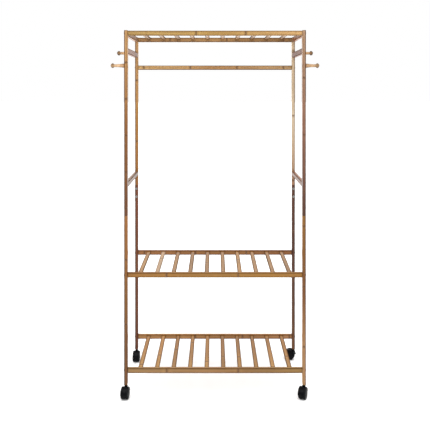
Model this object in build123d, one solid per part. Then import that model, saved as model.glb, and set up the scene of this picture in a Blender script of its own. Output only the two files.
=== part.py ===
from build123d import *
from math import asin, degrees
import os

# A free-standing rolling clothes rack of solid bamboo bars, in millimetres.
# The origin is on the floor, under the middle of the rack. +Z is up, +X is to the
# right of someone facing the rack, and the front faces -Y.

# Posts: flat bars, narrow seen from the front and twice as deep from the side.
post_width = 15.0
post_depth = 30.0
post_bottom = 58.0
post_top = 1650.0
post_long_edge = 3.5
post_end_edge = 1.0
post_x = 400.5
post_y = 185.0

# Half-lap splice that joins the lower and upper half of each post.
splice_bottom = 817.0
splice_top = 897.0
splice_bolt_heights = (837.0, 877.5)

# Rails run across the rack between the posts; three levels make the shelves.
rail_depth = 15.0
rail_height = 22.0
rail_edge = 1.2
shelf_rail_bottoms = {"top": 1626.0, "middle": 538.0, "bottom": 108.5}

# Slats run from the front rail to the rear rail of each shelf.
slat_count = 10
slat_pitch = 75.0
slat_width = 20.0
slat_thickness = 6.0
slat_drops = {"top": 0.0, "middle": 4.5, "bottom": 4.5}
slat_housing = 5.0
slat_edge = 0.8

# Side members run from the front post to the rear post on each side.
side_rail_bottoms = {"top": 1626.0, "middle": 944.0}
peg_board_bottom = 1545.0
peg_board_height = 25.0

# Hanging rod between the two rear posts.
rod_radius = 11.0
rod_height = 1495.0
rod_end_chamfer = 1.0

# Turned coat pegs: one on each front post and one on each peg board.
peg_length = 62.0
peg_base_radius = 10.0
peg_neck_radius = 6.5
peg_neck_at = 44.0
peg_head_radius = 11.0
peg_head_at = 50.0
peg_dome_radius = 10.8
peg_dome_sweep = 78.0
post_peg_height = 1491.0
board_peg_y = -10.0

# Connector bolts with flat heads, and what they screw into.
bolt_radius = 3.0
bolt_hole_radius = 3.2
bolt_head_radius = 6.0
bolt_head_thickness = 2.0
hex_socket_radius = 2.3
hex_socket_depth = 3.0
insert_radius = 4.5
insert_length = 11.0
rod_insert_length = 14.0
barrel_nut_radius = 5.0
barrel_nut_length = 14.0
barrel_nut_inset = 25.0
rail_bolt_length = 48.0
glue_gap = 0.05

# Wooden dowels that hold the side members in the posts.
dowel_radius = 2.5
dowel_depth = 12.0
dowel_offset = 6.5

# Wood screws that hold the pegs.
screw_radius = 2.0
screw_length = 40.0
screw_head_radius = 4.0
screw_head_depth = 2.4

# Twin-wheel casters. The swivel axis is the local origin and the axle is behind it.
wheel_radius = 23.0
wheel_gap = 0.4
wheel_tread = 8.0
wheel_shoulder = (10.6, 21.6)
wheel_rim = (11.6, 19.5)
wheel_crown = 13.6
wheel_inner_edge = 1.0
wheel_grooves = {"rim": 17.0, "hub": 5.5}
wheel_groove_depth = 0.5
caster_trail = 18.0
axle_radius = 2.5
axle_half_length = 15.5
axle_running_gap = 0.05
hood_inner_radius = 24.5
hood_outer_radius = 28.5
hood_lobe_inner = 6.0
hood_lobe_outer = 16.6
hood_edge = 3.0
hood_valley_radius = 25.8
hood_valley_half_width = 6.5
web_half_width = 5.0
web_radius = 25.0
web_bottom = 9.0
boss_radius = 8.0
boss_bottom = 38.0
boss_top = 50.0
neck_radius = 5.5
neck_top = 56.4
stem_radius = 4.0
stem_bottom = 31.0
stem_top = 88.0
stem_running_gap = 0.05
socket_radius = 5.25
socket_top = 91.0
socket_flange_radius = 7.0
socket_flange_bottom = 56.8

# Direction that each caster trails in, in degrees from +X towards +Y.
caster_headings = {
    "front_left": 264.0,
    "front_right": 246.0,
    "rear_left": 270.0,
    "rear_right": 158.0,
}

sides = {"left": -1, "right": 1}
ends = {"front": -1, "rear": 1}
inner_x = post_x - post_width / 2
outer_x = post_x + post_width / 2
inner_y = post_y - post_depth / 2
outer_y = post_y + post_depth / 2
rail_inner_y = post_y - rail_depth / 2


def bar(low, high, edge=0.0):
    """A box from one corner to the opposite one, with every edge rounded by edge."""
    size = [max(a, b) - min(a, b) for a, b in zip(low, high)]
    middle = [(a + b) / 2 for a, b in zip(low, high)]
    block = Pos(*middle) * Box(*size)
    return fillet(block.edges(), edge) if edge else block


def rod_between(start, end, radius):
    """A cylinder of the given radius from one point to another."""
    run = Vector(*end) - Vector(*start)
    align = (Align.CENTER, Align.CENTER, Align.MIN)
    return Plane(origin=start, z_dir=run) * Cylinder(radius, run.length, align=align)


def both_sides(middle_count, pitch):
    """Evenly spaced places, symmetric about zero."""
    first = -(middle_count - 1) / 2 * pitch
    return [first + index * pitch for index in range(middle_count)]


def connector_bolt(seat, direction, length):
    """A flat-headed bolt whose head sits on the seat and whose shank runs in direction."""
    align_up = (Align.CENTER, Align.CENTER, Align.MIN)
    align_down = (Align.CENTER, Align.CENTER, Align.MAX)
    head = Cylinder(bolt_head_radius, bolt_head_thickness, align=align_up)
    head = fillet(head.edges().group_by(Axis.Z)[-1], 0.8)
    shank = Cylinder(bolt_radius, length, align=align_down)
    shank = chamfer(shank.edges().group_by(Axis.Z)[0], 0.8)
    key = Pos(0, 0, bolt_head_thickness) * extrude(RegularPolygon(hex_socket_radius, 6), -hex_socket_depth)
    away = Vector(*direction) * -1
    return Plane(origin=seat, z_dir=away) * (head + shank - key)


def threaded_insert(mouth, direction, length):
    """A ribbed metal sleeve for a bolt, from its mouth in the given direction."""
    align = (Align.CENTER, Align.CENTER, Align.MIN)
    body = Cylinder(insert_radius, length, align=align)
    for rib_gap in both_sides(3, length / 4):
        ring = Cylinder(insert_radius, 0.8) - Cylinder(insert_radius - 0.6, 0.8)
        body -= Pos(0, 0, length / 2 + rib_gap) * ring
    body -= Cylinder(bolt_radius, length, align=align)
    return Plane(origin=mouth, z_dir=direction) * body


def far_point(start, direction, distance):
    """The point at a distance from start along one of the main directions."""
    return tuple(s + d * distance for s, d in zip(start, direction))


# ---------------------------------------------------------------- joints in the wood


def splice_faces(end):
    """The Y of a post's outward face, its lap plane and its inward face."""
    return end * outer_y, end * post_y, end * inner_y


def rail_bolt_places():
    """Seat on the post's outer face and inward direction, for every rail bolt."""
    places = []
    for bottom in shelf_rail_bottoms.values():
        for end in ends.values():
            for side in sides.values():
                seat = (side * outer_x, end * post_y, bottom + rail_height / 2)
                places.append((seat, (-side, 0, 0)))
    return places


def rod_bolt_places():
    """Seat and inward direction of the two bolts that hold the hanging rod."""
    return [((side * outer_x, post_y, rod_height), (-side, 0, 0)) for side in sides.values()]


def splice_bolt_places():
    """Seat on the post's inward face and outward direction, for every splice bolt."""
    places = []
    for end in ends.values():
        for side in sides.values():
            for height in splice_bolt_heights:
                places.append(((side * post_x, end * inner_y, height), (0, end, 0)))
    return places


def side_member_heights():
    """Middle height of the three members on each side."""
    heights = [bottom + rail_height / 2 for bottom in side_rail_bottoms.values()]
    heights.append(peg_board_bottom + peg_board_height / 2)
    return heights


def dowel_places():
    """Middle of every dowel, on the face where a side member meets a post."""
    places = []
    for end in ends.values():
        for side in sides.values():
            for height in side_member_heights():
                for offset in (-dowel_offset, dowel_offset):
                    places.append((side * post_x, end * inner_y, height + offset))
    return places


def peg_places():
    """Name, seat on the outer face and outward direction of every coat peg."""
    board_middle = peg_board_bottom + peg_board_height / 2
    places = []
    for side_name, side in sides.items():
        post_seat = (side * outer_x, -post_y, post_peg_height)
        board_seat = (side * outer_x, board_peg_y, board_middle)
        places.append((f"front_coat_peg_{side_name}", post_seat, (side, 0, 0)))
        places.append((f"board_coat_peg_{side_name}", board_seat, (side, 0, 0)))
    return places


def caster_places():
    """Name, X, Y and heading of every caster."""
    places = []
    for end_name, end in ends.items():
        for side_name, side in sides.items():
            name = f"{end_name}_{side_name}"
            places.append((name, side * post_x, end * post_y, caster_headings[name]))
    return places


# ---------------------------------------------------------------- holes


def dowel_holes():
    """Holes for the dowels, as one cutter for posts and side members alike."""
    cutters = []
    reach = dowel_depth + glue_gap
    for x, y, z in dowel_places():
        cutters.append(rod_between((x, y - reach, z), (x, y + reach, z), dowel_radius + glue_gap))
    return cutters


def bolt_holes():
    """Clearance holes of every bolt that passes through a post along X."""
    cutters = []
    for seat, inward in rail_bolt_places():
        tip = far_point(seat, inward, rail_bolt_length + 2)
        cutters.append(rod_between(seat, tip, bolt_hole_radius))
    for seat, inward in rod_bolt_places():
        tip = far_point(seat, inward, post_width)
        cutters.append(rod_between(seat, tip, bolt_hole_radius))
    return cutters


def screw_holes():
    """Countersunk holes for the peg screws, through a post or a board into the peg."""
    cutters = []
    for _, seat, outward in peg_places():
        inner = far_point(seat, outward, -post_width)
        tip = far_point(inner, outward, screw_length + 1)
        hole = rod_between(inner, tip, screw_radius + glue_gap)
        sink = Cone(
            screw_head_radius + glue_gap,
            screw_radius + glue_gap,
            screw_head_depth,
            align=(Align.CENTER, Align.CENTER, Align.MIN),
        )
        cutters.append(hole + Plane(origin=inner, z_dir=outward) * sink)
    return cutters


# ---------------------------------------------------------------- wooden bars


def make_post(side, end, name):
    """One post as its lower and upper half, lapped and bolted where they meet."""
    outward, lap, inward = splice_faces(end)
    x_low = side * post_x - post_width / 2
    x_high = side * post_x + post_width / 2
    whole = bar((x_low, outward, post_bottom), (x_high, inward, post_top))
    whole = fillet(whole.edges().filter_by(Axis.Z), post_long_edge)
    levels = whole.edges().group_by(Axis.Z)
    whole = fillet(levels[0] + levels[-1], post_end_edge)
    above_splice = bar((x_low, outward, splice_bottom), (x_high, inward, post_top))
    below_splice = bar((x_low, outward, post_bottom), (x_high, inward, splice_bottom))
    tongue_room = bar((x_low, inward, splice_bottom), (x_high, lap, splice_top))
    # The lower half ends in a square-edged tongue; the upper half keeps its rounding.
    lower = (whole - above_splice) + tongue_room
    upper = whole - below_splice - tongue_room
    stem_hole = socket_radius + glue_gap
    foot = (side * post_x, end * post_y, post_bottom)
    lower -= rod_between(foot, (foot[0], foot[1], socket_top + 1), stem_hole)
    lower -= dowel_holes() + bolt_holes()
    upper -= dowel_holes() + bolt_holes() + screw_holes()
    for height in splice_bolt_heights:
        mouth = (side * post_x, lap, height)
        lower -= rod_between((mouth[0], inward, height), mouth, bolt_hole_radius)
        pocket_end = far_point(mouth, (0, end, 0), insert_length + 0.5)
        upper -= rod_between(mouth, pocket_end, insert_radius + glue_gap)
    return {f"{name}_lower": lower, f"{name}_upper": upper}


def make_rail(end, bottom, slat_drop):
    """A rail between two posts, with slat housings in its inner face."""
    middle = bottom + rail_height / 2
    near = end * (post_y - rail_depth / 2)
    far = end * (post_y + rail_depth / 2)
    rail = bar((-inner_x, near, bottom), (inner_x, far, bottom + rail_height), rail_edge)
    slat_top = bottom + rail_height - slat_drop
    for x in both_sides(slat_count, slat_pitch):
        low = (x - slat_width / 2, near, slat_top - slat_thickness)
        high = (x + slat_width / 2, near + end * slat_housing, slat_top)
        rail -= bar(low, high)
    rail -= bolt_holes()
    nut_reach = middle + barrel_nut_length / 2
    for side in sides.values():
        nut_x = side * (inner_x - barrel_nut_inset)
        below = (nut_x, end * post_y, bottom)
        rail -= rod_between(below, (nut_x, end * post_y, nut_reach), barrel_nut_radius + glue_gap)
    return rail


def make_slats(bottom, slat_drop):
    """The row of slats that fills one shelf, each let into both rails."""
    top = bottom + rail_height - slat_drop
    reach = rail_inner_y + slat_housing
    slats = []
    for x in both_sides(slat_count, slat_pitch):
        low = (x - slat_width / 2, -reach, top - slat_thickness)
        high = (x + slat_width / 2, reach, top)
        slats.append(bar(low, high, slat_edge))
    return slats


def make_side_member(side, bottom, height):
    """A bar from the front post to the rear post."""
    x_low = side * post_x - post_width / 2
    x_high = side * post_x + post_width / 2
    member = bar((x_low, -inner_y, bottom), (x_high, inner_y, bottom + height), rail_edge)
    return member - dowel_holes() - screw_holes()


def make_rod():
    """The round hanging rod, drilled at both ends for its inserts."""
    rod = rod_between((-inner_x, post_y, rod_height), (inner_x, post_y, rod_height), rod_radius)
    rod = chamfer(rod.edges(), rod_end_chamfer)
    for side in sides.values():
        mouth = (side * inner_x, post_y, rod_height)
        pocket_end = far_point(mouth, (-side, 0, 0), rod_insert_length + 1)
        rod -= rod_between(mouth, pocket_end, insert_radius + glue_gap)
    return rod


def make_peg(seat, outward):
    """A turned peg with a waisted shaft and a mushroom head."""
    shaft_middle = (peg_neck_at * 0.45, peg_neck_radius + 1.0)
    dome = CenterArc((peg_length - peg_dome_radius, 0), peg_dome_radius, 0, peg_dome_sweep)
    rim = dome @ 1
    underside = (peg_head_at, peg_head_radius - 0.9)
    outline = [
        Line((0, 0), (0, peg_base_radius)),
        ThreePointArc((0, peg_base_radius), shaft_middle, (peg_neck_at, peg_neck_radius)),
        ThreePointArc((peg_neck_at, peg_neck_radius), (peg_neck_at + 4, 7.7), underside),
        ThreePointArc(underside, (peg_head_at + 1.4, peg_head_radius), rim),
        dome,
        Line((peg_length, 0), (0, 0)),
    ]
    turned = revolve(make_face(outline), Axis.X)
    upright = Rot(0, -90, 0) * turned
    return Plane(origin=seat, z_dir=outward) * upright - screw_holes()


# ---------------------------------------------------------------- fasteners


def make_barrel_nuts():
    """Cross dowels inside the rails, one for each rail bolt."""
    nuts = []
    for seat, inward in rail_bolt_places():
        x, y, z = far_point(seat, inward, post_width + barrel_nut_inset)
        half = barrel_nut_length / 2
        nut = rod_between((x, y, z - half), (x, y, z + half), barrel_nut_radius)
        nut -= rod_between((x - 10, y, z), (x + 10, y, z), bolt_radius)
        nut -= bar((x - 6, y - 0.6, z - half), (x + 6, y + 0.6, z - half + 1.2))
        nuts.append(nut)
    return nuts


def make_dowels():
    """Fluteless dowels, half in a post and half in a side member."""
    dowels = []
    for x, y, z in dowel_places():
        peg = rod_between((x, y - dowel_depth, z), (x, y + dowel_depth, z), dowel_radius)
        dowels.append(chamfer(peg.edges(), 0.6))
    return dowels


def make_peg_screws():
    """Countersunk screws, head on the inner face and point in the peg."""
    screws = []
    align = (Align.CENTER, Align.CENTER, Align.MIN)
    for _, seat, outward in peg_places():
        inner = far_point(seat, outward, -post_width)
        shank = Cylinder(screw_radius, screw_length - 3, align=align)
        point = Pos(0, 0, screw_length - 3) * Cone(screw_radius, 0.4, 3, align=align)
        head = Cone(screw_head_radius, screw_radius, screw_head_depth, align=align)
        cross = Box(4.2, 0.9, 3.0) + Box(0.9, 4.2, 3.0)
        screws.append(Plane(origin=inner, z_dir=outward) * (shank + point + head - cross))
    return screws


# ---------------------------------------------------------------- casters


def caster_location(x, y, heading):
    """Places a caster modelled on the origin, trailing towards +X."""
    return Pos(x, y, 0) * Rot(0, 0, heading)


def make_hood():
    """The caster's body: a rounded cover over each wheel, the web between and the neck."""
    axle = Pos(caster_trail, 0, wheel_radius) * Rot(90, 0, 0)
    lobe_width = hood_lobe_outer - hood_lobe_inner
    lobe_middle = (hood_lobe_outer + hood_lobe_inner) / 2
    lobe = Cylinder(hood_outer_radius, lobe_width)
    lobe = fillet(lobe.edges(), hood_edge)
    cover = Cylinder(hood_valley_radius, 2 * hood_valley_half_width)
    cover += Pos(0, 0, lobe_middle) * lobe
    cover += Pos(0, 0, -lobe_middle) * lobe
    cover -= Cylinder(hood_inner_radius, 2 * hood_lobe_outer)
    cover = axle * cover
    cover -= bar((-50, -30, -20), (80, 30, wheel_radius + 2))
    web = axle * Cylinder(web_radius, 2 * web_half_width)
    web -= bar((-50, -30, -20), (80, 30, web_bottom))
    align = (Align.CENTER, Align.CENTER, Align.MIN)
    boss = Pos(0, 0, boss_bottom) * Cylinder(boss_radius, boss_top - boss_bottom, align=align)
    boss = fillet(boss.edges().group_by(Axis.Z)[-1], 1.5)
    neck = Pos(0, 0, boss_bottom) * Cylinder(neck_radius, neck_top - boss_bottom, align=align)
    spine_back = stem_radius + 2.2
    spine = bar((-spine_back, -web_half_width, stem_bottom - 2), (6, web_half_width, boss_top - 3))
    wheel_room = axle * Cylinder(hood_inner_radius, 2 * hood_lobe_outer)
    wheel_room -= axle * Cylinder(web_radius, 2 * web_half_width)
    hood = cover + web + spine + ((boss + neck) - wheel_room)
    hood -= rod_between((0, 0, stem_bottom), (0, 0, neck_top), stem_radius + glue_gap)
    hood -= axle * Cylinder(axle_radius + glue_gap, 2 * web_half_width + 1)
    return hood


def make_stem():
    """The steel stem, fixed in the hood and turning in the post's socket."""
    stem = rod_between((0, 0, stem_bottom), (0, 0, stem_top), stem_radius)
    stem = chamfer(stem.edges().group_by(Axis.Z)[-1], 1.0)
    groove_at = stem_top - 7
    groove = Cylinder(stem_radius + 1, 1.4) - Cylinder(stem_radius - 0.6, 1.4)
    return stem - Pos(0, 0, groove_at) * groove


def make_axle():
    """The steel pin that both wheels turn on."""
    axle = Cylinder(axle_radius, 2 * axle_half_length)
    axle = chamfer(axle.edges(), 0.4)
    return Pos(caster_trail, 0, wheel_radius) * Rot(90, 0, 0) * axle


def make_wheel(hand):
    """A moulded wheel with a flat tread, a domed outer face and a blind bore."""
    rim_width, rim_height = wheel_rim
    rise = wheel_crown - rim_width
    dome_radius = (rim_height**2 + rise**2) / (2 * rise)
    dome = CenterArc((wheel_crown - dome_radius, 0), dome_radius, 0, degrees(asin(rim_height / dome_radius)))
    shoulder_start = (wheel_tread, wheel_radius)
    outline = [
        Line((0, 0), (0, wheel_radius - wheel_inner_edge)),
        Line((0, wheel_radius - wheel_inner_edge), (wheel_inner_edge, wheel_radius)),
        Line((wheel_inner_edge, wheel_radius), shoulder_start),
        ThreePointArc(shoulder_start, wheel_shoulder, dome @ 1),
        dome,
        Line((wheel_crown, 0), (0, 0)),
    ]
    wheel = Rot(0, -90, 0) * revolve(make_face(outline), Axis.X)
    align = (Align.CENTER, Align.CENTER, Align.MIN)
    for groove_radius in wheel_grooves.values():
        crown_drop = rise * (groove_radius / rim_height) ** 2
        groove_bottom = wheel_crown - crown_drop - wheel_groove_depth
        groove = Cylinder(groove_radius + 0.5, 5, align=align)
        groove -= Cylinder(groove_radius - 0.5, 5, align=align)
        wheel -= Pos(0, 0, groove_bottom) * groove
    inner = web_half_width + wheel_gap
    bore_depth = axle_half_length + 0.4 - inner
    wheel -= Cylinder(axle_radius + axle_running_gap, bore_depth, align=align)
    face = (caster_trail, hand * inner, wheel_radius)
    return Plane(origin=face, z_dir=(0, hand, 0)) * wheel


def make_socket(x, y):
    """The flanged sleeve in the foot of a post that a caster's stem turns in."""
    sleeve = rod_between((x, y, socket_flange_bottom), (x, y, socket_top), socket_radius)
    flange = rod_between((x, y, socket_flange_bottom), (x, y, post_bottom), socket_flange_radius)
    room_top = stem_top + 0.6
    bore = rod_between((x, y, socket_flange_bottom), (x, y, room_top), stem_radius + stem_running_gap)
    return sleeve + flange - bore


# ---------------------------------------------------------------- the whole rack

nodes = {}
for end_name, end in ends.items():
    for side_name, side in sides.items():
        nodes.update(make_post(side, end, f"post_{end_name}_{side_name}"))
    for level, bottom in shelf_rail_bottoms.items():
        nodes[f"{level}_{end_name}_rail"] = make_rail(end, bottom, slat_drops[level])
for level, bottom in shelf_rail_bottoms.items():
    nodes[f"{level}_shelf_slats"] = make_slats(bottom, slat_drops[level])
for side_name, side in sides.items():
    for level, bottom in side_rail_bottoms.items():
        nodes[f"{level}_side_rail_{side_name}"] = make_side_member(side, bottom, rail_height)
    nodes[f"peg_board_{side_name}"] = make_side_member(side, peg_board_bottom, peg_board_height)
nodes["hanging_rod"] = make_rod()
for name, seat, outward in peg_places():
    nodes[name] = make_peg(seat, outward)

nodes["rail_bolts"] = [connector_bolt(seat, inward, rail_bolt_length) for seat, inward in rail_bolt_places()]
nodes["rail_barrel_nuts"] = make_barrel_nuts()
rod_bolt_length = post_width + rod_insert_length
nodes["rod_bolts"] = [connector_bolt(seat, inward, rod_bolt_length) for seat, inward in rod_bolt_places()]
nodes["rod_inserts"] = [
    threaded_insert(far_point(seat, inward, post_width), inward, rod_insert_length)
    for seat, inward in rod_bolt_places()
]
splice_bolt_length = post_depth / 2 + insert_length - 1
nodes["splice_bolts"] = [connector_bolt(seat, out, splice_bolt_length) for seat, out in splice_bolt_places()]
nodes["splice_inserts"] = [
    threaded_insert(far_point(seat, out, post_depth / 2), out, insert_length)
    for seat, out in splice_bolt_places()
]
nodes["side_dowels"] = make_dowels()
nodes["peg_screws"] = make_peg_screws()
nodes["caster_sockets"] = [make_socket(x, y) for _, x, y, _ in caster_places()]

for name, x, y, heading in caster_places():
    place = caster_location(x, y, heading)
    nodes[f"caster_hood_{name}"] = place * make_hood()
    nodes[f"caster_stem_{name}"] = place * make_stem()
    nodes[f"caster_axle_{name}"] = place * make_axle()
    nodes[f"caster_wheel_a_{name}"] = place * make_wheel(1)
    nodes[f"caster_wheel_b_{name}"] = place * make_wheel(-1)

os.makedirs("parts", exist_ok=True)
for name, shape in nodes.items():
    whole = Compound(children=list(shape)) if isinstance(shape, (list, ShapeList)) else shape
    export_step(whole, f"parts/{name}.step")
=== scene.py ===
import math

import bpy
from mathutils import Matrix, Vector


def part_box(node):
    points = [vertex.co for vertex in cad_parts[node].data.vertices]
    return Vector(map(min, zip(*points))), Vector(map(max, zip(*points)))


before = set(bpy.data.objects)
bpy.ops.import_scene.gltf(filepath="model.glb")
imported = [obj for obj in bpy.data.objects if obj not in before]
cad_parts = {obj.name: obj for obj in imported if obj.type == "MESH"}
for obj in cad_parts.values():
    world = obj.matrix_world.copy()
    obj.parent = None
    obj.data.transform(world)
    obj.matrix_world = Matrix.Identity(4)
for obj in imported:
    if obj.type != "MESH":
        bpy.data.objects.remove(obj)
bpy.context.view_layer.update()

# Everything is in metres, in the frame of the CAD model: +Z is up and the front faces -Y.

# ---------------------------------------------------------------- camera, floor and light

camera_height = 1.385
camera_distance = 2.69
camera_lens = 50.25
camera_sensor = 36.0
camera_shift_y = -0.2926
camera_reach = 100.0

floor_reach = 60.0
floor_greys = (0.97, 0.99)
floor_mottle_scale = 3.0

# How bright the studio is in each direction, and where one brightness turns into the next.
world_front = 0.45
world_back = 1.0
world_side = 0.12
world_top = 0.9
world_depth_band = (-0.5, 0.5)
world_side_band = (0.45, 0.85)
world_top_band = (0.55, 0.95)

# A very large, distant softbox; its angles are in degrees.
overhead_strength = 3.7
overhead_tilt = 18.0
overhead_spread = 75.0


def make_camera():
    """A level camera in front of the rack, shifted down to keep the uprights parallel."""
    front_face_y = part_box("post_front_left_upper")[0].y
    data = bpy.data.cameras.new("camera")
    data.lens = camera_lens
    data.sensor_width = camera_sensor
    data.shift_y = camera_shift_y
    data.clip_end = camera_reach
    camera = bpy.data.objects.new("camera", data)
    camera.location = (0.0, front_face_y - camera_distance, camera_height)
    camera.rotation_euler = (math.pi / 2, 0.0, 0.0)
    bpy.context.scene.collection.objects.link(camera)
    bpy.context.scene.camera = camera


def make_floor():
    """A plain pale floor that runs out to the horizon."""
    reach = floor_reach
    corners = [(-reach, -reach, 0.0), (reach, -reach, 0.0), (reach, reach, 0.0), (-reach, reach, 0.0)]
    mesh = bpy.data.meshes.new("studio_floor")
    mesh.from_pydata(corners, [], [(0, 1, 2, 3)])
    floor = bpy.data.objects.new("studio_floor", mesh)
    bpy.context.scene.collection.objects.link(floor)
    material, g, shader = new_material("studio_floor")
    place = g.add("ShaderNodeTexCoord").outputs["Object"]
    mottle = g.noise(place, scale=floor_mottle_scale, detail=3.0)
    g.feed(shader.inputs["Base Color"], g.mix(mottle, grey(floor_greys[0]), grey(floor_greys[1])))
    shader.inputs["Roughness"].default_value = 0.85
    shader.inputs["Specular IOR Level"].default_value = 0.2
    mesh.materials.append(material)


def make_world():
    """A studio, brightest behind and overhead and dim on both sides, that the camera sees as white."""
    world = bpy.data.worlds.new("studio")
    world.use_nodes = True
    background = world.node_tree.nodes["Background"]
    g = Graph(world.node_tree)
    place = g.add("ShaderNodeTexCoord").outputs["Generated"]
    x, y, z = g.add("ShaderNodeSeparateXYZ", {0: place}).outputs
    level = g.ramp(y, *world_depth_band, world_front, world_back)
    level = toward(g, g.ramp(g.math("ABSOLUTE", x), *world_side_band), level, world_side)
    level = toward(g, g.ramp(z, *world_top_band), level, world_top)
    seen = g.add("ShaderNodeLightPath").outputs["Is Camera Ray"]
    background.inputs["Color"].default_value = grey(1.0)
    g.feed(background.inputs["Strength"], g.math("MAXIMUM", level, seen))
    bpy.context.scene.world = world


def make_overhead():
    """The softbox overhead, which leans a little to the front."""
    data = bpy.data.lights.new("overhead", "SUN")
    data.energy = overhead_strength
    data.angle = math.radians(overhead_spread)
    light = bpy.data.objects.new("overhead", data)
    light.rotation_euler = (math.radians(overhead_tilt), 0.0, 0.0)
    bpy.context.scene.collection.objects.link(light)


# ---------------------------------------------------------------- shader helpers


class Graph:
    """Adds shader nodes to a tree; any input may be a number, a tuple or another socket."""

    def __init__(self, tree):
        self.tree = tree

    def feed(self, socket, value):
        if isinstance(value, bpy.types.NodeSocket):
            self.tree.links.new(value, socket)
        elif value is not None:
            socket.default_value = value

    def add(self, kind, inputs=None, **settings):
        node = self.tree.nodes.new(kind)
        for name, value in settings.items():
            setattr(node, name, value)
        for key, value in (inputs or {}).items():
            self.feed(node.inputs[key], value)
        return node

    def math(self, operation, a, b=None, c=None, clamp=False):
        inputs = {0: a, 1: b, 2: c}
        return self.add("ShaderNodeMath", inputs, operation=operation, use_clamp=clamp).outputs[0]

    def plus(self, a, b):
        return self.math("ADD", a, b)

    def minus(self, a, b):
        return self.math("SUBTRACT", a, b)

    def times(self, a, b):
        return self.math("MULTIPLY", a, b)

    def times_plus(self, a, b, c, clamp=False):
        return self.math("MULTIPLY_ADD", a, b, c, clamp)

    def combine(self, x, y, z):
        return self.add("ShaderNodeCombineXYZ", {0: x, 1: y, 2: z}).outputs[0]

    def noise(self, vector, scale=1.0, detail=2.0, roughness=0.5):
        inputs = {"Vector": vector, "Scale": scale, "Detail": detail, "Roughness": roughness}
        return self.add("ShaderNodeTexNoise", inputs).outputs["Fac"]

    def ramp(self, value, low, high, out_low=0.0, out_high=1.0, smooth=True):
        kind = "SMOOTHSTEP" if smooth else "LINEAR"
        inputs = {"Value": value, "From Min": low, "From Max": high}
        inputs.update({"To Min": out_low, "To Max": out_high})
        return self.add("ShaderNodeMapRange", inputs, interpolation_type=kind).outputs["Result"]

    def mix(self, factor, a, b, blend="MIX"):
        node = self.add("ShaderNodeMix", data_type="RGBA", blend_type=blend)
        self.feed(node.inputs["Factor"], factor)
        self.feed(node.inputs[6], a)
        self.feed(node.inputs[7], b)
        return node.outputs[2]

    def bump(self, height, strength, distance):
        inputs = {"Height": height, "Strength": strength, "Distance": distance}
        return self.add("ShaderNodeBump", inputs).outputs["Normal"]


def toward(g, share, start, end):
    """A number that goes from start to end as share goes from 0 to 1."""
    return g.times_plus(share, g.minus(end, start), start)


def grey(level):
    """A grey as the linear colour a shader takes."""
    return (level, level, level, 1.0)


def linear(red, green, blue):
    """An sRGB colour, given in 0 to 255, as the linear colour a shader takes."""
    channels = []
    for value in (red, green, blue):
        share = value / 255.0
        channels.append(share / 12.92 if share <= 0.04045 else ((share + 0.055) / 1.055) ** 2.4)
    return (*channels, 1.0)


def new_material(name):
    """An empty node material with its graph and its main shader."""
    material = bpy.data.materials.new(name)
    material.use_nodes = True
    shader = material.node_tree.nodes["Principled BSDF"]
    return material, Graph(material.node_tree), shader


# ---------------------------------------------------------------- bamboo

GROUP_INPUTS = (
    ("Along", "NodeSocketFloat"),
    ("Across", "NodeSocketFloat"),
    ("Deep", "NodeSocketFloat"),
    ("End", "NodeSocketFloat"),
    ("Gain", "NodeSocketFloat"),
    ("Seed", "NodeSocketFloat"),
    ("Half Length", "NodeSocketFloat"),
    ("Half Across", "NodeSocketFloat"),
    ("Half Deep", "NodeSocketFloat"),
    ("Round", "NodeSocketFloat"),
    ("Knot At", "NodeSocketFloat"),
    ("Knot Spacing", "NodeSocketFloat"),
    ("Knot Fade", "NodeSocketFloat"),
    ("Edge Width", "NodeSocketFloat"),
    ("Edge Shade", "NodeSocketFloat"),
    ("Edge Side", "NodeSocketFloat"),
    ("Gloss", "NodeSocketFloat"),
    ("Tone Low", "NodeSocketColor"),
    ("Tone Middle", "NodeSocketColor"),
    ("Tone High", "NodeSocketColor"),
)
GROUP_OUTPUTS = (
    ("Color", "NodeSocketColor"),
    ("Roughness", "NodeSocketFloat"),
    ("Coat", "NodeSocketFloat"),
    ("Normal", "NodeSocketVector"),
)

# Sizes of the wood's features; each band runs from where a mark starts to where it is full.
layer_thickness = 0.005
ring_wander = 0.009
ring_band = (0.0034, 0.0006)
stain_band = (0.0115, 0.0015)
swelling_band = (0.030, 0.009)
# The joint band sets the painted shadow line at a bar's ends.
joint_shadow_band = (0.0026, 0.0004)
bump_distance = 0.0004

# How finely each pattern varies along the grain and across it.
fibre_scale = (10.0, 1500.0)
streak_scale = (4.0, 300.0)
patch_scale = (6.0, 60.0)
cloud_scale = (2.2, 12.0)
fleck_scale = (120.0, 3000.0)
end_dot_scale = 1400.0

# How much each of them lightens and darkens the wood, all times the contrast.
wood_contrast = 0.7
fibre_weight = 0.9
streak_weight = 1.0
patch_weight = 1.1
cloud_weight = 0.8
layer_weight = 0.26
darkest = 0.2
swelling_lift = 0.10
green_power = 1.14
blue_power = 1.34

# A slat whose gain is well above one is of a paler, greyer wood.
pale_slope = 2.0
pale_start = -2.2
pale_colour = (0.37, 0.31, 0.25, 1.0)

# Colour of each mark, and how strongly it covers the wood.
stain_colour = (0.14, 0.062, 0.020, 1.0)
stain_cover = 0.55
ring_colour = (0.040, 0.014, 0.005, 1.0)
ring_cover = 0.6
fleck_colour = (0.08, 0.035, 0.014, 1.0)
fleck_cover = 0.3
glue_colour = (0.09, 0.04, 0.016, 1.0)
glue_cover = 0.35
# Painted shadow in the gap where a bar meets its neighbour.
joint_shadow_colour = (0.03, 0.013, 0.006, 1.0)
joint_shadow_cover = 0.8
cut_tint = (0.62, 0.55, 0.46, 1.0)
cut_dot_colour = (0.09, 0.04, 0.015, 1.0)

wood_gloss = 0.42
side_gloss = 0.2


def stretched(g, place, scale):
    """Coordinates stretched along the grain, from a bar's own along, across and deep."""
    along, across, deep = place
    return g.combine(g.times(along, scale[0]), g.times(across, scale[1]), g.times(deep, scale[1]))


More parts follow.
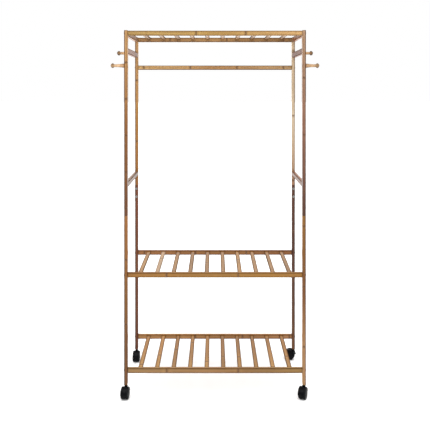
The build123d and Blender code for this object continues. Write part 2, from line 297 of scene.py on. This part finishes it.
def knot_marks(g, given, streak, shuffle):
    """Growth rings: a dark, uneven band, the stain round it and a paler swelling."""
    spacing = given["Knot Spacing"]
    wander = g.times(g.minus(streak, 0.5), ring_wander)
    turn = g.math("DIVIDE", g.minus(g.plus(given["Along"], wander), given["Knot At"]), spacing)
    far = g.ramp(g.math("ABSOLUTE", g.minus(turn, 0.5)), 0.8, 1.2)
    strength = g.minus(1.0, g.times(far, given["Knot Fade"]))
    turn = g.math("FRACT", g.plus(turn, shuffle))
    nearest = g.minus(0.5, g.math("ABSOLUTE", g.minus(turn, 0.5)))
    distance = g.times(nearest, spacing)
    return [g.times(g.ramp(distance, *band), strength) for band in (ring_band, stain_band, swelling_band)]


def edge_painted_shade(g, given, patch):
    """Painted shade along a bar's long edges, broken up by patches, and darker on the side that the edge
    side picks.
    """
    edge_across = g.minus(given["Half Across"], g.math("ABSOLUTE", given["Across"]))
    edge_deep = g.minus(given["Half Deep"], g.math("ABSOLUTE", given["Deep"]))
    square_edge = g.plus(edge_across, edge_deep)
    round_edge = g.minus(edge_across, square_edge)
    to_edge = g.times_plus(round_edge, given["Round"], square_edge)
    edge = g.math("SUBTRACT", 1.0, g.math("DIVIDE", to_edge, given["Edge Width"]), clamp=True)
    edge = g.times(g.ramp(edge, 0.0, 0.75), g.ramp(patch, 0.25, 0.6, 0.7, 1.0))
    sideways = g.math("DIVIDE", g.times(given["Across"], given["Edge Side"]), given["Half Across"])
    return g.times(edge, g.ramp(sideways, -0.6, 0.1, 0.5, 1.0))


def bar_tone(g, given):
    """The bar's own colour, which changes slowly from one end to the other."""
    share = g.math("DIVIDE", given["Along"], given["Half Length"])
    tone = g.mix(g.math("MAXIMUM", share, 0.0), given["Tone Middle"], given["Tone High"])
    return g.mix(g.math("MAXIMUM", g.times(share, -1.0), 0.0), tone, given["Tone Low"])


def bamboo_group():
    """Laminated bamboo: fibres, layers with glue lines, dark growth rings and end grain."""
    tree = bpy.data.node_groups.new("bamboo", "ShaderNodeTree")
    for name, kind in GROUP_INPUTS:
        tree.interface.new_socket(name, in_out="INPUT", socket_type=kind)
    for name, kind in GROUP_OUTPUTS:
        tree.interface.new_socket(name, in_out="OUTPUT", socket_type=kind)
    g = Graph(tree)
    given = g.add("NodeGroupInput").outputs
    along, across, deep, seed = (given[name] for name in ("Along", "Across", "Deep", "Seed"))

    # Each layer of the laminate has its own tone, and those below the first their own growth rings.
    layer_place = g.math("DIVIDE", g.plus(deep, given["Half Deep"]), layer_thickness)
    layer = g.math("FLOOR", layer_place)
    chance = g.add("ShaderNodeTexWhiteNoise", {"Vector": g.combine(layer, seed, 3.7)}, noise_dimensions="3D")
    chances = g.add("ShaderNodeSeparateColor", {"Color": chance.outputs["Color"]}).outputs
    buried = g.math("MINIMUM", g.math("MAXIMUM", layer, 0.0), 1.0)
    shuffle = g.times(chances[1], buried)
    glue = g.ramp(g.math("ABSOLUTE", g.minus(g.math("FRACT", layer_place), 0.5)), 0.46, 0.495)

    place = (g.plus(along, seed), across, deep)
    fibre = g.noise(stretched(g, place, fibre_scale), detail=3.0, roughness=0.6)
    streak = g.noise(stretched(g, place, streak_scale), detail=2.0)
    patch = g.noise(stretched(g, place, patch_scale), detail=3.0, roughness=0.6)
    cloud = g.noise(stretched(g, place, cloud_scale), detail=2.0)
    fleck = g.ramp(g.noise(stretched(g, place, fleck_scale), detail=1.0), 0.62, 0.72)
    ring, stain, swelling = knot_marks(g, given, streak, shuffle)
    edge = edge_painted_shade(g, given, patch)
    tone = bar_tone(g, given)

    # Fibres, streaks and patches lighten and darken the tone; darker wood is redder.
    value = 0.0
    patterns = ((fibre, fibre_weight), (streak, streak_weight), (patch, patch_weight))
    patterns += ((cloud, cloud_weight), (chances[0], layer_weight))
    for pattern, weight in patterns:
        value = g.times_plus(g.minus(pattern, 0.5), weight, value)
    value = g.times_plus(value, wood_contrast, 1.0)
    value = g.math("MAXIMUM", g.times(value, given["Gain"]), darkest)
    value = g.times(value, g.times_plus(swelling, swelling_lift, 1.0))
    # Painted shade: the edge shade darkens the wood along its long edges.
    value = g.times(value, g.times_plus(edge, g.times(given["Edge Shade"], -1.0), 1.0))
    spread = g.combine(value, g.math("POWER", value, green_power), g.math("POWER", value, blue_power))
    colour = g.mix(1.0, tone, spread, "MULTIPLY")
    colour = g.mix(g.times_plus(given["Gain"], pale_slope, pale_start, clamp=True), colour, pale_colour)
    colour = g.mix(g.times(stain, stain_cover), colour, stain_colour)
    colour = g.mix(g.times(ring, ring_cover), colour, ring_colour)
    colour = g.mix(g.times(fleck, fleck_cover), colour, fleck_colour)
    colour = g.mix(g.times(glue, glue_cover), colour, glue_colour)

    # Cut ends show the fibres as dark dots, and a painted shadow line darkens the wood where the bar meets
    # its neighbour.
    dots = g.add("ShaderNodeTexVoronoi", {"Vector": g.combine(across, deep, 0.0), "Scale": end_dot_scale})
    dot = g.ramp(dots.outputs["Distance"], 0.36, 0.16)
    end_colour = g.mix(dot, g.mix(1.0, tone, cut_tint, "MULTIPLY"), cut_dot_colour)
    cut = g.ramp(given["End"], 0.85, 0.95)
    colour = g.mix(cut, colour, end_colour)
    joint_painted_shadow = g.ramp(g.minus(given["Half Length"], g.math("ABSOLUTE", along)), *joint_shadow_band)
    colour = g.mix(g.times(joint_painted_shadow, joint_shadow_cover), colour, joint_shadow_colour)

    # Lacquer is duller over fibres and flecks, and worn off along edges and on cut ends.
    roughness = g.times_plus(fibre, 0.16, 0.34)
    roughness = g.times_plus(fleck, 0.12, roughness)
    roughness = g.times_plus(edge, 0.3, roughness)
    roughness = g.times_plus(cut, 0.2, roughness, clamp=True)
    coat = g.math("SUBTRACT", given["Gloss"], g.times(edge, wood_gloss), clamp=True)
    coat = g.times(coat, g.minus(1.0, g.times(cut, 0.7)))

    height = g.times(fibre, 0.35)
    for pattern, weight in ((fleck, -0.25), (swelling, 0.5), (ring, -0.7), (glue, -0.5)):
        height = g.times_plus(pattern, weight, height)

    result = g.add("NodeGroupOutput")
    g.feed(result.inputs["Color"], colour)
    g.feed(result.inputs["Roughness"], roughness)
    g.feed(result.inputs["Coat"], coat)
    g.feed(result.inputs["Normal"], g.bump(height, 0.5, bump_distance))
    return tree


def steps_along(g, value, low, high, levels):
    """A stepped value that takes each of the levels in turn between low and high."""
    ramp = g.add("ShaderNodeValToRGB", {"Fac": g.ramp(value, low, high, smooth=False)})
    ramp.color_ramp.interpolation = "CONSTANT"
    stops = ramp.color_ramp.elements
    while len(stops) < len(levels):
        stops.new(0.5)
    for index, level in enumerate(levels):
        stops[index].position = index / len(levels)
    for index, level in enumerate(levels):
        stops[index].color = grey(level)
    return ramp.outputs["Color"]


def feed_slats(g, body, look, across, seed):
    """Gives each slat of a row, which is one node, its own tone, grain and middle."""
    levels = look["slats"]
    reach = slat_pitch * len(levels) / 2
    number = g.math("FLOOR", g.math("DIVIDE", g.plus(across, reach), slat_pitch))
    g.feed(body.inputs["Gain"], steps_along(g, across, -reach, reach, levels))
    g.feed(body.inputs["Seed"], g.times_plus(number, slat_seed_step, seed))
    return g.minus(across, g.times_plus(number, slat_pitch, slat_pitch / 2 - reach))


def bamboo(name, grain, look, seed, box):
    """The bamboo of one bar, with its grain along one axis and its layers stacked along another."""
    look = {**PLAIN, "order": GRAIN_ORDERS[grain], **look}
    material, g, shader = new_material(name)
    low, high = box
    middle = (low + high) / 2
    half = (high - low) / 2
    lengthways, sideways, inwards = look["order"]
    source = g.add("ShaderNodeTexCoord").outputs
    centred = g.add("ShaderNodeVectorMath", {0: source["Object"], 1: tuple(middle)}, operation="SUBTRACT")
    place = g.add("ShaderNodeSeparateXYZ", {0: centred.outputs["Vector"]}).outputs
    facing = g.add("ShaderNodeSeparateXYZ", {0: source["Normal"]}).outputs
    body = g.add("ShaderNodeGroup", node_tree=bamboo_tree)
    values = {
        "Seed": seed,
        "Gain": 1.0,
        "Half Length": half[lengthways],
        "Half Across": look.get("half_width", half[sideways]),
        "Half Deep": half[inwards],
        "Round": look["round"],
        "Knot At": look["knot_at"] - middle[lengthways],
        "Knot Spacing": look["knot_spacing"],
        "Knot Fade": look["knot_fade"],
        "Edge Width": look["edge_width"],
        "Edge Shade": look["edge_shade"],
        "Edge Side": look["edge_side"],
        "Gloss": look["gloss"],
        "Tone Low": linear(*look["tones"][0]),
        "Tone Middle": linear(*look["tones"][1]),
        "Tone High": linear(*look["tones"][2]),
    }
    for key, value in values.items():
        body.inputs[key].default_value = value
    across = place[sideways]
    if "slats" in look:
        across = feed_slats(g, body, look, across, seed)
    g.feed(body.inputs["Along"], place[lengthways])
    g.feed(body.inputs["Across"], across)
    g.feed(body.inputs["Deep"], place[inwards])
    g.feed(body.inputs["End"], g.math("ABSOLUTE", facing[lengthways]))
    g.feed(shader.inputs["Base Color"], body.outputs["Color"])
    g.feed(shader.inputs["Roughness"], body.outputs["Roughness"])
    g.feed(shader.inputs["Normal"], body.outputs["Normal"])
    g.feed(shader.inputs["Coat Weight"], body.outputs["Coat"])
    shader.inputs["Specular IOR Level"].default_value = 0.12
    shader.inputs["Coat Roughness"].default_value = 0.2
    return material


# ---------------------------------------------------------------- plastic and metal

hood_grain_scale = 2600.0
wheel_grain_scale = 1400.0
scuff_scale = 90.0
plastic_colour = (0.0020, 0.0020, 0.0030, 1.0)
scuffed_colour = (0.009, 0.009, 0.011, 1.0)
plating_scale = 450.0


def caster_plastic(name, grain_scale):
    """Black moulded plastic with a fine spark-eroded grain and grey scuffs."""
    material, g, shader = new_material(name)
    place = g.add("ShaderNodeTexCoord").outputs["Object"]
    grain = g.noise(place, scale=grain_scale, detail=2.0)
    scuff = g.ramp(g.noise(place, scale=scuff_scale, detail=4.0, roughness=0.7), 0.55, 0.75)
    g.feed(shader.inputs["Base Color"], g.mix(g.times(scuff, 0.5), plastic_colour, scuffed_colour))
    g.feed(shader.inputs["Roughness"], g.times_plus(scuff, 0.2, 0.42))
    shader.inputs["Specular IOR Level"].default_value = 0.08
    g.feed(shader.inputs["Normal"], g.bump(grain, 0.25, 0.0002))
    return material


def steel(name, dull, bright, roughness):
    """Plated steel with faint crystalline patches."""
    material, g, shader = new_material(name)
    place = g.add("ShaderNodeTexCoord").outputs["Object"]
    patches = g.noise(place, scale=plating_scale, detail=3.0)
    g.feed(shader.inputs["Base Color"], g.mix(patches, dull, bright))
    g.feed(shader.inputs["Roughness"], g.times_plus(patches, 0.25, roughness))
    shader.inputs["Metallic"].default_value = 1.0
    g.feed(shader.inputs["Normal"], g.bump(patches, 0.2, 0.0001))
    return material


# ---------------------------------------------------------------- looks of the wooden nodes

# Axes along the grain, across the bar and through its layers, for a grain along each axis.
GRAIN_ORDERS = {"x": (0, 2, 1), "y": (1, 0, 2), "z": (2, 0, 1)}
SIDE_ORDER = (1, 2, 0)

PLAIN = {
    "round": 0.0,
    "knot_at": 0.0,
    "knot_spacing": 0.27,
    "knot_fade": 0.0,
    "edge_width": 0.003,
    "edge_shade": 0.5,
    "edge_side": 0.0,
    "gloss": wood_gloss,
}
NO_KNOTS = {"knot_at": 3.0, "knot_spacing": 9.0}
# Edge width and edge shade set the painted shade along a bar's long edges; edge side makes it darker on the
# outer side.
POST = {"edge_width": 0.0082, "edge_shade": 0.84}
LEFT_POST = dict(POST, edge_side=-1.0)
RIGHT_POST = dict(POST, edge_side=1.0)
RAIL = {"edge_width": 0.0058, "edge_shade": 0.74}
SLAT = {"edge_width": 0.0055, "edge_shade": 0.72, "half_width": 0.010}
SIDE = {"edge_width": 0.0050, "edge_shade": 0.72, "order": SIDE_ORDER, "gloss": side_gloss}
ROD = {"edge_width": 0.0070, "edge_shade": 0.84, "round": 1.0}
PEG = dict(NO_KNOTS, edge_width=0.0090, edge_shade=0.75, round=1.0)
DOWEL = dict(NO_KNOTS, tones=((210, 180, 135), (210, 180, 135), (210, 180, 135)))

slat_pitch = 0.075
slat_seed_step = 2.31
seed_step = 1.37


def bar(style, low, middle, high, knots, **more):
    """A bar's look: its tones from low end to high end, and one knot's place and the knots' spacing."""
    return dict(style, tones=(low, middle, high), knot_at=knots[0], knot_spacing=knots[1], **more)


LOOKS = {
    "post_front_left_upper": bar(LEFT_POST, (100, 55, 25), (160, 105, 50), (210, 165, 110), (1.342, 0.164)),
    "post_front_left_lower": bar(LEFT_POST, (120, 75, 35), (150, 100, 40), (195, 130, 65), (0.62, 0.29)),
    "post_front_right_upper": bar(RIGHT_POST, (75, 35, 25), (155, 110, 90), (205, 170, 140), (1.181, 0.255)),
    "post_front_right_lower": bar(RIGHT_POST, (215, 170, 120), (135, 80, 25), (170, 120, 40), (0.50, 0.27)),
    "post_rear_left_upper": bar(LEFT_POST, (160, 100, 35), (190, 135, 60), (230, 185, 130), (1.12, 0.31)),
    "post_rear_left_lower": bar(LEFT_POST, (110, 50, 20), (115, 60, 25), (130, 60, 25), (0.73, 0.23)),
    "post_rear_right_upper": bar(RIGHT_POST, (170, 110, 65), (245, 225, 195), (245, 220, 185), (1.25, 0.33)),
    "post_rear_right_lower": bar(RIGHT_POST, (110, 65, 30), (75, 35, 20), (80, 35, 20), (0.66, 0.25)),
    "top_front_rail": bar(
        RAIL, (200, 165, 100), (200, 160, 90), (225, 180, 120), (-0.085, 0.224),
        knot_fade=0.8),
    "middle_front_rail": bar(RAIL, (150, 100, 30), (155, 110, 40), (160, 110, 30), (-0.217, 0.321)),
    "bottom_front_rail": bar(RAIL, (160, 125, 75), (155, 115, 65), (155, 120, 60), (-0.217, 0.321)),
    "top_rear_rail": bar(RAIL, (170, 130, 85), (175, 135, 85), (135, 100, 60), (0.06, 0.29)),
    "middle_rear_rail": bar(RAIL, (155, 100, 50), (140, 90, 30), (140, 85, 35), (-0.10, 0.26)),
    "bottom_rear_rail": bar(RAIL, (180, 130, 75), (175, 125, 70), (170, 120, 75), (0.14, 0.24)),
    "hanging_rod": bar(ROD, (220, 180, 120), (170, 125, 75), (180, 145, 100), (-0.126, 0.238)),
    "top_shelf_slats": bar(
        SLAT, (185, 150, 120), (190, 155, 120), (180, 145, 110), (0.0, 0.31),
        slats=(0.9, 1.0, 0.85, 1.05, 0.95, 0.9, 1.0, 0.7, 0.9, 0.85)),
    "middle_shelf_slats": bar(
        SLAT, (140, 100, 55), (140, 100, 45), (145, 100, 50), (0.0, 0.31),
        slats=(1.0, 1.27, 0.95, 1.0, 0.9, 0.92, 1.05, 1.05, 1.0, 0.88)),
    "bottom_shelf_slats": bar(
        SLAT, (150, 110, 55), (145, 100, 45), (140, 95, 40), (0.0, 0.31),
        slats=(1.08, 1.1, 0.88, 1.0, 1.04, 0.8, 1.02, 0.84, 1.05, 0.86)),
}
SIDE_TONES = {
    "top_side_rail_left": ((175, 135, 100), (170, 130, 100), (165, 125, 95)),
    "top_side_rail_right": ((155, 100, 60), (155, 95, 55), (150, 90, 50)),
    "middle_side_rail_left": ((140, 110, 90), (140, 110, 90), (130, 100, 80)),
    "middle_side_rail_right": ((140, 95, 70), (140, 95, 70), (135, 90, 65)),
    "peg_board_left": ((160, 120, 105), (160, 120, 105), (150, 115, 95)),
    "peg_board_right": ((140, 90, 65), (140, 85, 60), (130, 80, 60)),
}
# Head, waist and base of a peg on the front posts and on the peg boards.
PEG_TONES = {
    "front_coat_peg": ((140, 110, 75), (205, 170, 130), (190, 150, 110)),
    "board_coat_peg": ((85, 60, 35), (195, 155, 110), (180, 140, 100)),
}


def look_of(name):
    """Grain axis and look of a wooden node by its name, or nothing for plastic and steel."""
    if name in LOOKS:
        return ("z" if name.startswith("post_") else "y" if name.endswith("_slats") else "x"), LOOKS[name]
    if name in SIDE_TONES:
        return "y", dict(SIDE, tones=SIDE_TONES[name])
    for family, tones in PEG_TONES.items():
        if name.startswith(family):
            return "x", dict(PEG, tones=tones if name.endswith("left") else tones[::-1])
    if name == "side_dowels":
        return "y", DOWEL
    return None, None


def dress(node, material):
    """Gives a CAD node a material in place of its own."""
    node.data.materials.clear()
    node.data.materials.append(material)


# ---------------------------------------------------------------- dressing the CAD nodes

bamboo_tree = bamboo_group()
hood_material = caster_plastic("hood_plastic", hood_grain_scale)
wheel_material = caster_plastic("wheel_plastic", wheel_grain_scale)
zinc_material = steel("zinc_steel", (0.15, 0.15, 0.14, 1.0), (0.36, 0.35, 0.33, 1.0), 0.3)
screw_material = steel("screw_steel", (0.020, 0.018, 0.018, 1.0), (0.060, 0.055, 0.052, 1.0), 0.35)
for index, (name, node) in enumerate(sorted(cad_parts.items())):
    grain, look = look_of(name)
    if grain:
        dress(node, bamboo(f"bamboo_{name}", grain, look, index * seed_step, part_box(name)))
    elif "hood" in name:
        dress(node, hood_material)
    elif "wheel" in name:
        dress(node, wheel_material)
    elif name == "peg_screws":
        dress(node, screw_material)
    else:
        dress(node, zinc_material)

make_camera()
make_floor()
make_world()
make_overhead()
bpy.context.scene.view_settings.view_transform = "Standard"
